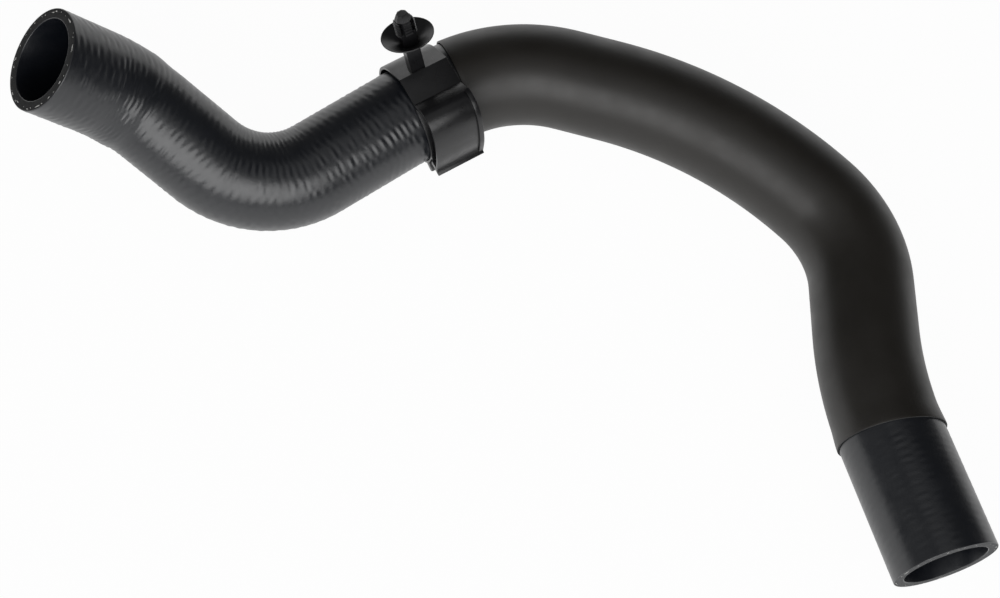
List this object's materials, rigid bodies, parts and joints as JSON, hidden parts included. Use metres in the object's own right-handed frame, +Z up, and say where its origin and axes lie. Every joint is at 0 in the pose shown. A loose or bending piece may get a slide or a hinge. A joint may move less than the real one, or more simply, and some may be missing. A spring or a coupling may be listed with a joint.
{
  "type": "radiator hose",
  "caption": "Pre-formed rubber coolant hose, bent in space, with flared ends, a protective sleeve and a latched retaining clip with a push-in stud.",
  "frame": {"origin": "middle of the bounding box, on the floor that the hose lies on", "axes": "+X along the longest extent, from the inlet end towards the outlet side; +Z up as the hose lies at rest"},
  "size_m": [0.3662, 0.2274, 0.0877],
  "materials": {
    "hose_rubber": "semi-gloss moulded rubber with a fine wrap print",
    "sleeve_rubber": "smooth satin",
    "clip_plastic": "satin moulded plastic"
  },
  "bodies": {
    "root": {"hose": "hose_rubber", "protective_sleeve": "sleeve_rubber", "retaining_clip": "clip_plastic"}
  },
  "joints": []
}
